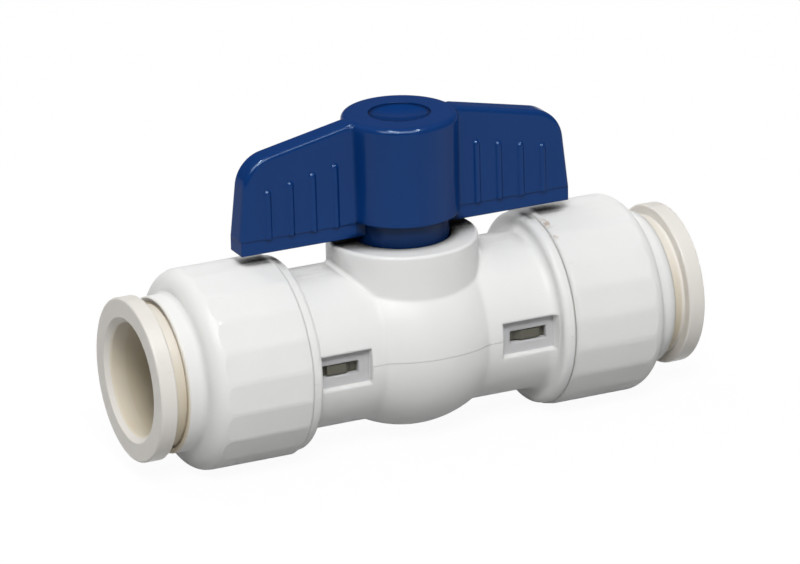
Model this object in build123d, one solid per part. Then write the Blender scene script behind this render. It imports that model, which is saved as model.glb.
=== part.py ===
from build123d import *
import os
from math import cos, radians, sqrt, tan

# Push-fit ball valve for plastic or copper tube, shown open.
# X is the flow axis, Z is the stem axis, and the handle lies along X.
# Everything is drawn about the crossing of the two axes and lifted at the end, so that
# the valve stands on the bottom flats of its end caps at Z = 0. Sizes are in millimetres.

# Tube and collet
tube_radius = 11.11
tube_clearance = 0.14
collet_wall = 2.85
collet_flange_overhang = 2.15
collet_flange_thickness = 3.5
collet_flange_edge = 0.4
collet_lead_in = 1.2
collet_bore_length = 8.4
collet_travel = 1.6
collet_tip_gap = 0.4
collet_clearance = 0.3
release_gap = 2.6
finger_count = 6
finger_slot_width = 1.6
finger_relief = 0.35
grip_cone_angle = 9.5
grip_cone_length = 7.8

# Grip teeth in the fingers
tooth_bite = 0.16
tooth_thickness = 0.5
tooth_height = 2.3
tooth_lean = 35.0
tooth_setback = 1.8
tooth_arc = 34.0
tooth_clearance = 0.05

# Seals of the tube socket
tube_ring_section = 3.6
tube_ring_squeeze = 0.2
ring_clearance = 0.05
tube_ring_side_gap = 0.5
backup_ring_thickness = 2.5
backup_ring_clearance = 0.15
backup_ring_chamfer = 0.4

# End cap
spigot_length = 9.65
spigot_wall = 2.5
spigot_clearance = 0.1
spigot_end_gap = 0.2
cap_length = 24.4
cap_wall = 2.65
cap_flats = 20
cap_corner_cut = 0.06
cap_seam_edge = 0.4
shoulder_length = 20.65
shoulder_round = 3.9
shoulder_crease_round = 0.6
shoulder_flat = 0.05
nose_wall = 1.1
nose_edge_round = 0.4
mouth_chamfer = 0.25
seam_gap = 0.2

# Body
ball_radius = 12.4
ball_clearance = 0.5
arm_wall = 3.0
bulge_height = 2.8
bulge_arc_radius = 23.0
bulge_blend = 2.0
band_outer_x = 28.35
band_width = 2.15
band_rise = 3.5
band_edge_round = 1.0
band_root_round = 1.5
chamber_floor_wall = 0.25
spigot_lead_in = 0.5

# Snap windows on the arms
window_length = 11.8
window_band_gap = 0.15
window_half_height = 3.6
window_floor_wall = 1.2
snap_slot_length = 7.95
snap_slot_setback = 1.65
snap_slot_half_height = 1.25

# Neck and stem
neck_radius = 15.0
neck_edge_round = 0.6
neck_root_round = 0.8
stem_radius = 6.05
stem_clearance = 0.05
stem_flange_overhang = 1.05
stem_flange_thickness = 1.1
stem_flange_clearance = 0.2
washer_thickness = 0.6
washer_gap = 0.05
stem_ball_gap = 0.2
stem_ring_section = 1.6
stem_groove_slack = 0.2
stem_groove_start = 0.6
stem_groove_end = 0.6
stem_groove_pitch = 2.6
collar_wall = 1.5
collar_drop = 0.4
collar_depth = 3.5
drive_square = 7.6
drive_clearance = 0.1
tang_width = 4.6
tang_reach = 5.5
tang_depth = 2.8
tang_clearance = 0.1

# Quarter-turn stop
stop_tab_arc = 24.0
stop_tab_angle = 225.0
stop_tab_height = 2.2
stop_slack = 1.5
quarter_turn = 90.0

# Ball and seats
ball_wall = 4.1
port_edge_round = 0.5
slot_floor_gap = 0.2
seat_bore_step = 0.2
seat_width = 2.5
seat_reach = 4.9
seat_length = 4.5
seat_clearance = 0.15
seat_proud = 0.8
seat_pocket_clearance = 0.05

# Seat carrier
carrier_clearance = 0.1
carrier_flange_thickness = 2.5
carrier_flange_clearance = 0.1
carrier_ring_section = 1.5
carrier_groove_slack = 0.5
carrier_inner_groove_wall = 1.2
carrier_outer_groove_wall = 0.8
carrier_lead_in = 0.8
lug_height = 0.9
lug_length = 5.4
lug_flat = 4.0
lug_end_gap = 1.3
lug_clearance = 0.25

# Handle
skirt_wall = 1.6
skirt_clearance = 0.3
skirt_floor_gap = 0.2
boss_radius = 11.55
boss_step = 3.0
boss_height = 20.25
boss_top_round = 1.2
boss_bottom_round = 0.4
wing_span = 36.05
wing_neck_gap = 1.65
wing_thickness = 4.8
wing_face_draft = 1.3
wing_end_draft = 6.0
wing_top_slope = 11.7
wing_top_drop = 0.1
wing_corner_round = 7.0
wing_edge_round = 1.0
wing_wall = 1.5
wing_core_gap = 0.4
foot_height = 2.9
foot_setback = 0.25
rib_count = 4
rib_first_x = 15.35
rib_pitch = 4.8
rib_radius = 0.75
rib_proud = 0.5
rib_root_round = 0.35
rib_drop = 6.65

# Handle screw and its cap
screw_radius = 1.9
screw_hole_clearance = 0.3
screw_seat_wall = 2.6
screw_well_depth = 7.6
screw_length = 12.0
screw_head_radius = 3.7
screw_head_height = 2.4
screw_head_round = 1.0
screw_head_clearance = 0.4
screw_recess_length = 4.2
screw_recess_width = 0.9
screw_recess_depth = 1.4
pilot_clearance = 0.05
pilot_end_gap = 0.5
plug_radius = 6.05
plug_clearance = 0.1
plug_thickness = 1.1
plug_sink = 0.2
plug_dish_depth = 0.55
plug_stub_length = 2.2
plug_stub_wall = 1.0
plug_stub_clearance = 0.05

# Radii that follow from the fits
bore_radius = ball_radius + ball_clearance
arm_radius = bore_radius + arm_wall
carrier_radius = bore_radius - carrier_clearance
collet_bore_radius = tube_radius + tube_clearance
collet_neck_radius = collet_bore_radius + collet_wall
collet_flange_radius = collet_neck_radius + collet_flange_overhang
mouth_radius = collet_neck_radius + collet_clearance
nose_radius = mouth_radius + nose_wall
tube_ring_inner_radius = tube_radius - tube_ring_squeeze
chamber_radius = tube_ring_inner_radius + tube_ring_section + ring_clearance
spigot_radius = chamber_radius + spigot_wall
cap_bore_radius = spigot_radius + spigot_clearance
cap_apothem = cap_bore_radius + cap_wall
cap_round_radius = cap_apothem / cos(radians(180 / cap_flats)) - cap_corner_cut
band_radius = arm_radius + band_rise
port_radius = ball_radius - ball_wall
flow_radius = port_radius + seat_bore_step
seat_radius = flow_radius + seat_width
seat_pocket_radius = seat_radius + seat_pocket_clearance
stem_flange_radius = stem_radius + stem_flange_overhang
stem_bore_radius = stem_radius + stem_clearance
collar_radius = stem_bore_radius + collar_wall
skirt_inner_radius = collar_radius + skirt_clearance
skirt_radius = skirt_inner_radius + skirt_wall
drive_socket = drive_square + 2 * drive_clearance
screw_head_bore = screw_head_radius + screw_head_clearance
neck_hole_radius = skirt_radius + skirt_clearance

# Places along the flow axis, on the right-hand side
band_inner_x = band_outer_x - band_width
chamber_floor_x = band_outer_x - chamber_floor_wall
tube_stop_x = chamber_floor_x + carrier_flange_thickness
spigot_end_x = band_outer_x + spigot_length
cap_seam_x = band_outer_x + seam_gap
cap_step_x = spigot_end_x + spigot_end_gap
cone_end_x = cap_step_x + grip_cone_length
shoulder_x = cap_seam_x + shoulder_length
nose_x = cap_seam_x + cap_length
flange_back_x = nose_x + release_gap
collet_face_x = flange_back_x + collet_flange_thickness
finger_tip_x = spigot_end_x + collet_travel + collet_tip_gap
collet_bore_end_x = collet_face_x - collet_lead_in - collet_bore_length
tooth_root_x = finger_tip_x + tooth_setback
tube_ring_x = tube_stop_x + tube_ring_side_gap + tube_ring_section / 2
backup_ring_x = tube_stop_x + 2 * tube_ring_side_gap + tube_ring_section
window_end_x = band_inner_x - window_band_gap
window_start_x = window_end_x - window_length
snap_slot_end_x = window_end_x - snap_slot_setback
snap_slot_start_x = snap_slot_end_x - snap_slot_length
seat_inner_x = ball_radius - seat_reach
seat_back_x = seat_inner_x + seat_length
carrier_groove_width = carrier_ring_section + carrier_groove_slack
carrier_inner_groove_x = seat_back_x + carrier_inner_groove_wall + carrier_groove_width / 2
carrier_outer_groove_x = chamber_floor_x - carrier_outer_groove_wall - carrier_groove_width / 2
carrier_inner_x = seat_inner_x + seat_proud
window_floor_y = bore_radius + window_floor_wall

# Heights along the stem axis, from the flow axis
ball_top_z = ball_radius
stem_flange_z = ball_top_z + stem_ball_gap
washer_z = stem_flange_z + stem_flange_thickness + washer_gap
stem_ceiling_z = washer_z + washer_thickness + washer_gap
stem_groove_width = stem_ring_section + stem_groove_slack
stem_ring_z = stem_ceiling_z + stem_groove_start + stem_groove_width / 2
collar_top_z = stem_ring_z + stem_groove_pitch + stem_groove_width / 2 + stem_groove_end
neck_top_z = collar_top_z + collar_drop
wing_bottom_z = neck_top_z + wing_neck_gap
foot_top_z = wing_bottom_z + foot_height
boss_bottom_z = wing_bottom_z + boss_step
boss_top_z = boss_bottom_z + boss_height
skirt_groove_z = collar_top_z - collar_depth
skirt_bottom_z = skirt_groove_z + skirt_floor_gap
hub_bottom_z = collar_top_z + skirt_floor_gap
screw_seat_z = boss_top_z - screw_well_depth
socket_top_z = screw_seat_z - screw_seat_wall
drive_top_z = socket_top_z - drive_clearance
slot_floor_z = stem_flange_z - tang_depth - slot_floor_gap
plug_top_z = boss_top_z - plug_sink
plug_bottom_z = plug_top_z - plug_thickness
axis_height = cap_apothem


# Outline in the half plane beside the flow axis, with rounds given as {point number: radius}
def outline(points, rounds=None):
    face = make_face(Polyline(*points, close=True))
    for number, radius in (rounds or {}).items():
        corner = face.vertices().sort_by_distance(points[number])[0]
        face = fillet(corner, radius)
    return face


# Solid turned about the flow axis from (x, radius) points
def turned(points, rounds=None, arc=360):
    return revolve(Plane.XZ * outline(points, rounds), Axis.X, arc)


# Solid turned about the stem axis from (radius, z) points
def turned_upright(points, rounds=None):
    return revolve(Plane.XZ * outline(points, rounds), Axis.Z, 360)


# Rod along the flow axis between two places
def flow_rod(radius, start, end):
    rod = Cylinder(radius, end - start, align=(Align.CENTER, Align.CENTER, Align.MIN))
    return Pos(start, 0, 0) * Rot(0, 90, 0) * rod


# Upright rod between two heights
def upright_rod(radius, bottom, top):
    return Pos(0, 0, bottom) * Cylinder(radius, top - bottom, align=(Align.CENTER, Align.CENTER, Align.MIN))


# Box between two corners
def block(low, high):
    size = [b - a for a, b in zip(low, high)]
    return Pos(*low) * Box(*size, align=(Align.MIN, Align.MIN, Align.MIN))


# Ring sector about the stem axis, from angle start over arc degrees
def upright_sector(inner, outer, bottom, top, start, arc):
    section = Plane.XZ * outline([(inner, bottom), (outer, bottom), (outer, top), (inner, top)])
    return Rot(0, 0, start) * revolve(section, Axis.Z, arc)


# O-ring about the flow axis
def flow_o_ring(inner, section, x):
    return Pos(x, 0, 0) * Rot(0, 90, 0) * Torus(inner + section / 2, section / 2)


# O-ring about the stem axis
def upright_o_ring(inner, section, z):
    return Pos(0, 0, z) * Torus(inner + section / 2, section / 2)


# Body moulding: arms, bulge, bands and spigots turned in one, with the neck standing on the bulge
def make_body():
    bulge_top = arm_radius + bulge_height
    bulge_centre = bulge_top - bulge_arc_radius
    bulge_end = sqrt(bulge_arc_radius**2 - (arm_radius - bulge_centre) ** 2)
    right = [
        (bulge_end, arm_radius),
        (band_inner_x, arm_radius),
        (band_inner_x, band_radius),
        (band_outer_x, band_radius),
        (band_outer_x, spigot_radius),
        (spigot_end_x, spigot_radius),
        (spigot_end_x, 0),
    ]
    left = [(-x, r) for x, r in reversed(right)]
    arc = ThreePointArc((-bulge_end, arm_radius), (0, bulge_top), (bulge_end, arm_radius))
    section = make_face(Polyline(*left) + arc + Polyline(*right) + Line(right[-1], left[0]))
    rounds = [(right[0], bulge_blend), (right[1], band_root_round), (right[2], band_edge_round)]
    for (x, r), radius in rounds:
        for side in (-1, 1):
            corner = section.vertices().sort_by_distance((side * x, r))[0]
            section = fillet(corner, radius)
    body = revolve(Plane.XZ * section, Axis.X, 360)

    neck = upright_rod(neck_radius, 0, neck_top_z)
    neck = fillet(neck.edges().sort_by(Axis.Z)[-1], neck_edge_round)
    plain_edges = body.edges() + neck.edges()
    body += neck
    new_edges = body.edges() - plain_edges
    neck_root = new_edges.filter_by(lambda edge: 0 < edge.center().Z < neck_top_z - neck_edge_round)
    body = fillet(neck_root, neck_root_round)

    for side in (-1, 1):
        for face in (-1, 1):
            pocket = block((window_start_x, window_floor_y, -window_half_height),
                           (window_end_x, band_radius + band_rise, window_half_height))
            slot = block((snap_slot_start_x, 0, -snap_slot_half_height),
                         (snap_slot_end_x, arm_radius, snap_slot_half_height))
            window = pocket + slot
            if side < 0:
                window = mirror(window, about=Plane.YZ)
            if face < 0:
                window = mirror(window, about=Plane.XZ)
            body -= window

    body -= flow_rod(bore_radius, -chamber_floor_x, chamber_floor_x)
    chamber = turned([
        (chamber_floor_x, 0),
        (chamber_floor_x, chamber_radius),
        (spigot_end_x - spigot_lead_in, chamber_radius),
        (spigot_end_x, chamber_radius + spigot_lead_in),
        (spigot_end_x, 0),
    ])
    body -= chamber
    body -= mirror(chamber, about=Plane.YZ)

    body -= upright_rod(stem_flange_radius + stem_flange_clearance, 0, stem_ceiling_z)
    body -= upright_rod(stem_bore_radius, 0, neck_top_z)
    body -= upright_rod(neck_hole_radius, collar_top_z, neck_top_z)
    body -= upright_rod(neck_hole_radius, skirt_groove_z, collar_top_z) - upright_rod(
        collar_radius, skirt_groove_z, collar_top_z)
    body += upright_sector(collar_radius, neck_hole_radius, skirt_groove_z, skirt_groove_z + stop_tab_height,
                           stop_tab_angle - stop_tab_arc / 2, stop_tab_arc)
    return body


# End cap: flats that fade out on the shoulder, and a plain round nose
def make_cap():
    points = [
        (cap_seam_x, cap_bore_radius),
        (cap_seam_x, cap_round_radius),
        (shoulder_x, cap_round_radius),
        (shoulder_x, nose_radius),
        (nose_x, nose_radius),
        (nose_x, mouth_radius + mouth_chamfer),
        (nose_x - mouth_chamfer, mouth_radius),
        (cone_end_x, mouth_radius),
        (cap_step_x, mouth_radius + grip_cone_length * tan(radians(grip_cone_angle))),
        (cap_step_x, cap_bore_radius),
    ]
    shoulder_room = cap_round_radius - nose_radius - shoulder_crease_round - shoulder_flat
    shoulder_fillet = min(shoulder_round, shoulder_room)
    rounds = {1: cap_seam_edge, 2: shoulder_fillet, 3: shoulder_crease_round, 4: nose_edge_round}
    sides = RegularPolygon(cap_apothem, cap_flats, major_radius=False, rotation=180 / cap_flats)
    prism = extrude(Plane.YZ * sides, collet_face_x)
    return turned(points, rounds) & prism


# Section of one grip tooth: a thin blade that leans towards the tube stop
def tooth_section():
    tip = (tooth_root_x, tube_radius - tooth_bite)
    reach = tooth_height * tan(radians(tooth_lean))
    root = (tip[0] + reach, tip[1] + tooth_height)
    width = tooth_thickness / cos(radians(tooth_lean))
    return outline([tip, root, (root[0] + width, root[1]), (tip[0] + width, tip[1])])


# One blade in each finger
def make_teeth(section, arc):
    blade = revolve(Plane.XZ * section, Axis.X, arc)
    step = 360 / finger_count
    return [Rot(step / 2 - arc / 2 + step * number, 0, 0) * blade for number in range(finger_count)]


# Collet: flanged release sleeve whose slotted fingers wedge in the cap's cone
def make_collet():
    cone_rise = (cone_end_x - finger_tip_x) * tan(radians(grip_cone_angle))
    relief_radius = collet_bore_radius + finger_relief
    points = [
        (collet_face_x, collet_bore_radius + collet_lead_in),
        (collet_face_x, collet_flange_radius),
        (flange_back_x, collet_flange_radius),
        (flange_back_x, collet_neck_radius),
        (cone_end_x, collet_neck_radius),
        (finger_tip_x, collet_neck_radius + cone_rise),
        (finger_tip_x, relief_radius),
        (collet_bore_end_x - finger_relief, relief_radius),
        (collet_bore_end_x, collet_bore_radius),
        (collet_face_x - collet_lead_in, collet_bore_radius),
    ]
    collet = turned(points, {1: collet_flange_edge, 2: collet_flange_edge})
    step = 360 / finger_count
    slot = block((finger_tip_x, -finger_slot_width / 2, 0),
                 (collet_bore_end_x - finger_relief, finger_slot_width / 2, collet_flange_radius))
    for number in range(finger_count):
        collet -= Rot(step * number, 0, 0) * slot
    seat = offset(tooth_section(), tooth_clearance, kind=Kind.INTERSECTION)
    for pocket in make_teeth(seat, tooth_arc + 2 * tooth_clearance):
        collet -= pocket
    return collet


# Backup ring between the tube's O-ring and the fingers
def make_backup_ring():
    inner = tube_radius + backup_ring_clearance
    outer = chamber_radius - backup_ring_clearance
    start = backup_ring_x
    end = backup_ring_x + backup_ring_thickness
    return turned([
        (start, inner),
        (start, outer),
        (end, outer),
        (end, inner + backup_ring_chamfer),
        (end - backup_ring_chamfer, inner),
    ])


# Seat carrier: sleeve with a seat pocket, two O-ring grooves, snap lugs and the tube stop flange
def make_carrier():
    flange_radius = chamber_radius - carrier_flange_clearance
    carrier = turned([
        (carrier_inner_x, seat_pocket_radius),
        (carrier_inner_x, carrier_radius - carrier_lead_in / 2),
        (carrier_inner_x + carrier_lead_in / 2, carrier_radius),
        (chamber_floor_x, carrier_radius),
        (chamber_floor_x, flange_radius),
        (tube_stop_x, flange_radius),
        (tube_stop_x, flow_radius + carrier_lead_in),
        (tube_stop_x - carrier_lead_in, flow_radius),
        (seat_back_x, flow_radius),
        (seat_back_x, seat_pocket_radius),
    ])
    floor = bore_radius - ring_clearance - carrier_ring_section - ring_clearance
    half = carrier_groove_width / 2
    for x in (carrier_inner_groove_x, carrier_outer_groove_x):
        carrier -= flow_rod(carrier_radius + carrier_clearance, x - half, x + half) - flow_rod(
            floor, x - half, x + half)
    lug_end = snap_slot_end_x - lug_end_gap
    lug_top = bore_radius + lug_height
    ramp = make_face(Polyline(
        (lug_end - lug_length, carrier_radius),
        (lug_end - lug_flat, lug_top),
        (lug_end, lug_top),
        (lug_end, flow_radius),
        (lug_end - lug_length, flow_radius),
        close=True))
    half_width = snap_slot_half_height - lug_clearance
    lug = extrude(ramp, half_width, both=True) - flow_rod((flow_radius + carrier_radius) / 2, 0, tube_stop_x)
    return carrier + lug + mirror(lug, about=Plane.XZ)


# Ball seat, with its face hollowed to the ball
def make_seat():
    face_radius = ball_radius + seat_clearance
    inner_end = (sqrt(face_radius**2 - flow_radius**2), flow_radius)
    outer_end = (seat_inner_x, sqrt(face_radius**2 - seat_inner_x**2))
    hollow = RadiusArc(inner_end, outer_end, face_radius)
    walls = Polyline(outer_end, (seat_inner_x, seat_radius), (seat_back_x, seat_radius),
                     (seat_back_x, flow_radius), inner_end)
    return revolve(Plane.XZ * make_face(hollow + walls), Axis.X, 360)


# Ball with its port along the flow and a drive slot square to it
def make_ball():
    ball = Sphere(ball_radius) - flow_rod(port_radius, -ball_radius, ball_radius)
    ball = fillet(ball.edges().filter_by(GeomType.CIRCLE), port_edge_round)
    half = tang_width / 2 + tang_clearance
    return ball - block((-half, -ball_radius, slot_floor_z), (half, ball_radius, ball_radius))


# Stem put in from inside: tang, flange, two O-ring grooves and the square drive
def make_stem():
    stem = upright_rod(stem_flange_radius, stem_flange_z, stem_flange_z + stem_flange_thickness)
    stem += upright_rod(stem_radius, stem_flange_z, collar_top_z)
    half = stem_groove_width / 2
    floor = stem_bore_radius - 2 * ring_clearance - stem_ring_section
    for number in range(2):
        z = stem_ring_z + number * stem_groove_pitch
        stem -= upright_rod(stem_bore_radius, z - half, z + half) - upright_rod(floor, z - half, z + half)
    tang = block((-tang_width / 2, -tang_reach, stem_flange_z - tang_depth),
                 (tang_width / 2, tang_reach, stem_flange_z))
    stem += tang & upright_rod(tang_reach, stem_flange_z - tang_depth, stem_flange_z)
    side = drive_square / 2
    stem += block((-side, -side, collar_top_z), (side, side, drive_top_z)) & upright_rod(
        stem_radius, collar_top_z, drive_top_z)
    screw_end_z = screw_seat_z - screw_length
    return stem - upright_rod(screw_radius + pilot_clearance, screw_end_z - pilot_end_gap, drive_top_z)


# Thrust washer between the stem's flange and the body
def make_washer():
    bottom = washer_z
    top = washer_z + washer_thickness
    return upright_rod(stem_flange_radius, bottom, top) - upright_rod(stem_bore_radius, bottom, top)


# Height of a wing's top edge at a distance from the stem axis
def wing_top(x):
    return boss_top_z - wing_top_drop - (x - boss_radius) * tan(radians(wing_top_slope))


# Half thickness of a wing at a height: its faces are drafted, so that it is thickest above its foot
def wing_half(z):
    return wing_thickness / 2 + (boss_top_z - z) * tan(radians(wing_face_draft))


# Outline of the right-hand wing in the X-Z plane from a start beside the stem, moved in by an inset.
# Its upper outer corner is where the drafted end meets the sloping top.
def wing_outline(start_x, inset):
    draft = tan(radians(wing_end_draft))
    slope = tan(radians(wing_top_slope))
    foot_x = wing_span - inset / cos(radians(wing_end_draft))
    ridge_z = wing_top(0) - inset / cos(radians(wing_top_slope))
    corner_z = (ridge_z - slope * (foot_x + draft * wing_bottom_z)) / (1 - slope * draft)
    corner_x = foot_x - (corner_z - wing_bottom_z) * draft
    start_z = ridge_z - slope * start_x
    return [(start_x, wing_bottom_z), (foot_x, wing_bottom_z), (corner_x, corner_z), (start_x, start_z)]


# Ribs of one wing face, leaning with its draft, each with a domed top
def make_ribs(face_y):
    ribs = []
    for number in range(rib_count):
        x = rib_first_x + number * rib_pitch
        length = wing_top(x) - rib_drop - rib_radius - foot_top_z
        rib = upright_rod(rib_radius, -rib_radius, length) + Pos(0, 0, length) * Sphere(rib_radius)
        ribs.append(Pos(x, face_y, foot_top_z) * Rot(-wing_face_draft, 0, 0) * rib)
    return ribs


# Handle: ribbed wings over a set-back foot, boss, skirt, square socket and screw well
def make_handle():
    right = wing_outline(boss_radius, 0)[1:]
    left = [(-x, z) for x, z in reversed(right)]
    blade = outline(right + left, {1: wing_corner_round, 4: wing_corner_round})
    root_half = wing_half(foot_top_z)
    crown_half = wing_half(boss_top_z)
    wedge = outline([(-root_half, foot_top_z), (root_half, foot_top_z),
                     (crown_half, boss_top_z), (-crown_half, boss_top_z)])
    handle = extrude(Plane.XZ * blade, root_half, both=True) & extrude(Plane.YZ * wedge, wing_span, both=True)
    long_edges = handle.edges().filter_by(lambda edge: abs(edge.center().Y) > crown_half / 2)
    handle = fillet(long_edges.filter_by(lambda edge: edge.center().Z > foot_top_z + wing_edge_round),
                    wing_edge_round)

    plain_edges = handle.edges()
    for rib in make_ribs(rib_radius - rib_proud - root_half):
        for side in (rib, mirror(rib, about=Plane.YZ)):
            handle += side
            handle += mirror(side, about=Plane.XZ)
    handle -= block((-wing_span, -boss_radius, wing_bottom_z), (wing_span, boss_radius, foot_top_z))
    wing_faces = handle.faces().filter_by(GeomType.PLANE).sort_by(SortBy.AREA)[-2:]
    new_edges = wing_faces.edges() - plain_edges
    rib_roots = new_edges.filter_by(lambda edge: edge.center().Z > foot_top_z + rib_root_round)
    handle = fillet(rib_roots, rib_root_round)

    foot_half = root_half - foot_setback
    foot_end = wing_span - foot_height * tan(radians(wing_end_draft)) - foot_setback
    handle += block((-foot_end, -foot_half, wing_bottom_z), (foot_end, foot_half, foot_top_z))
    core = outline(wing_outline(boss_radius + wing_core_gap, wing_wall), {2: wing_corner_round - wing_wall})
    core = extrude(Plane.XZ * core, foot_half - wing_wall, both=True)
    handle -= core
    handle -= mirror(core, about=Plane.YZ)

    boss = upright_rod(boss_radius, boss_bottom_z, boss_top_z)
    boss = fillet(boss.edges().sort_by(Axis.Z)[-1], boss_top_round)
    boss = fillet(boss.edges().sort_by(Axis.Z)[0], boss_bottom_round)
    handle += boss
    handle += upright_rod(skirt_radius, skirt_bottom_z, boss_bottom_z + boss_bottom_round)
    handle -= upright_rod(skirt_inner_radius, skirt_bottom_z, hub_bottom_z)
    notch_start = stop_tab_angle - stop_tab_arc / 2 - stop_slack
    notch_arc = quarter_turn + stop_tab_arc + 2 * stop_slack
    handle -= upright_sector(collar_radius, neck_hole_radius, skirt_bottom_z,
                             skirt_groove_z + stop_tab_height + skirt_floor_gap, notch_start, notch_arc)
    side = drive_socket / 2
    handle -= block((-side, -side, hub_bottom_z), (side, side, socket_top_z))
    handle -= upright_rod(screw_radius + screw_hole_clearance, socket_top_z, screw_seat_z)
    handle -= upright_rod(screw_head_bore, screw_seat_z, boss_top_z)
    return handle - upright_rod(plug_radius + plug_clearance, plug_bottom_z, boss_top_z)


# Pan-head screw that holds the handle on the stem
def make_screw():
    head_top = screw_seat_z + screw_head_height
    screw = turned_upright([
        (0, screw_seat_z - screw_length),
        (screw_radius, screw_seat_z - screw_length + screw_radius),
        (screw_radius, screw_seat_z),
        (screw_head_radius, screw_seat_z),
        (screw_head_radius, head_top),
        (0, head_top),
    ], {4: screw_head_round})
    long_half = screw_recess_length / 2
    short_half = screw_recess_width / 2
    bottom = head_top - screw_recess_depth
    screw -= block((-long_half, -short_half, bottom), (long_half, short_half, head_top))
    return screw - block((-short_half, -long_half, bottom), (short_half, long_half, head_top))


# Dished plug that hides the screw
def make_plug():
    dish_z = plug_top_z - plug_dish_depth
    dish = ThreePointArc((-plug_radius, plug_top_z), (0, dish_z), (plug_radius, plug_top_z))
    half_dish = dish.trim(0.5, 1)
    walls = Polyline(half_dish @ 1, (plug_radius, plug_bottom_z), (0, plug_bottom_z), half_dish @ 0)
    disc = revolve(Plane.XZ * make_face(half_dish + walls), Axis.Z, 360)
    stub_radius = screw_head_bore - plug_stub_clearance
    stub_bottom_z = plug_bottom_z - plug_stub_length
    stub = upright_rod(stub_radius, stub_bottom_z, plug_bottom_z)
    return disc + (stub - upright_rod(stub_radius - plug_stub_wall, stub_bottom_z, plug_bottom_z))


# Pieces on the stem axis
pieces = {
    "valve_body": make_body(),
    "ball": make_ball(),
    "stem": make_stem(),
    "thrust_washer": make_washer(),
    "handle": make_handle(),
    "handle_screw": make_screw(),
    "handle_cap": make_plug(),
}
stem_ring_inner = stem_bore_radius - ring_clearance - stem_ring_section
for name, number in (("stem_o_ring_lower", 0), ("stem_o_ring_upper", 1)):
    ring_z = stem_ring_z + number * stem_groove_pitch
    pieces[name] = upright_o_ring(stem_ring_inner, stem_ring_section, ring_z)

# Pieces on the right-hand side, each with its mirror image on the left
carrier_ring_inner = bore_radius - ring_clearance - carrier_ring_section
paired = {
    "end_cap": make_cap(),
    "collet": make_collet(),
    "collet_teeth": Part() + make_teeth(tooth_section(), tooth_arc),
    "tube_o_ring": flow_o_ring(tube_ring_inner_radius, tube_ring_section, tube_ring_x),
    "backup_ring": make_backup_ring(),
    "seat_carrier": make_carrier(),
    "carrier_inner_o_ring": flow_o_ring(carrier_ring_inner, carrier_ring_section, carrier_inner_groove_x),
    "carrier_outer_o_ring": flow_o_ring(carrier_ring_inner, carrier_ring_section, carrier_outer_groove_x),
    "ball_seat": make_seat(),
}
for name, piece in paired.items():
    pieces[name + "_right"] = piece
    pieces[name + "_left"] = mirror(piece, about=Plane.YZ)

os.makedirs("parts", exist_ok=True)
for name, piece in pieces.items():
    export_step(Pos(0, 0, axis_height) * piece, f"parts/{name}.step")
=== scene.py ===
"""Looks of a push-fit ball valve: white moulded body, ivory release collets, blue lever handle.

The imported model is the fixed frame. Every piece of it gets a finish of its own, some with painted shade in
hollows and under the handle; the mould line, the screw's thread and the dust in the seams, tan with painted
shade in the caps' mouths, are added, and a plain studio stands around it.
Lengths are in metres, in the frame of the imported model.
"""

import logging
import math
from dataclasses import dataclass, replace
from enum import Enum
from typing import Union

import bpy
from mathutils import Matrix, Quaternion, Vector


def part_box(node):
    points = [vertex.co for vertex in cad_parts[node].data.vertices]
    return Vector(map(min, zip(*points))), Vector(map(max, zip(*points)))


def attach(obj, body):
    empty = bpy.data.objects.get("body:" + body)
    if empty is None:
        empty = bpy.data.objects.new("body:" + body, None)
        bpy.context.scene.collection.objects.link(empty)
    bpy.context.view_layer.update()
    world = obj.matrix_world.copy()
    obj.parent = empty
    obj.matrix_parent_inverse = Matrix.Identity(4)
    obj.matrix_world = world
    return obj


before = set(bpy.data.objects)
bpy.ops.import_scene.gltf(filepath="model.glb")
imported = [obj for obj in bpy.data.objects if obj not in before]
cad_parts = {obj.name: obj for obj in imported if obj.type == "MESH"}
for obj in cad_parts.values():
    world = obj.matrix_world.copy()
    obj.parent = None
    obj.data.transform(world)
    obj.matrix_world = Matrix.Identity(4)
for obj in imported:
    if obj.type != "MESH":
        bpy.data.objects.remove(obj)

MM = 0.001
LOG = logging.getLogger("ball_valve")

Colour = tuple[float, float, float]
Value = Union[float, bpy.types.NodeSocket]
Sockets = dict[str, bpy.types.NodeSocket]

BLACK: Colour = (0.0, 0.0, 0.0)
WHITE: Colour = (1.0, 1.0, 1.0)


class Slot(Enum):
    """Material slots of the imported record."""

    WHITE_SHELL = "white_pvc"
    IVORY_COLLET = "ivory_acetal"
    BLUE_HANDLE = "blue_handle"
    STEEL = "steel"
    RUBBER = "rubber"
    SEAT = "seat_ptfe"
    OLIVE_CARRIER = "olive_acetal"
    BALL = "ball_pvc"


class Side(Enum):
    """The two ends of the flow axis, with their sign along X."""

    LEFT = -1
    RIGHT = 1

    def node(self, name: str) -> str:
        """Name of this side's own copy of a paired node."""
        return f"{name}_{self.name.lower()}"


class LampUse(Enum):
    """What a lamp gives: even light on the plastic, or the sheen that its gloss mirrors."""

    FILL = "fill"
    SHEEN = "sheen"


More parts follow.
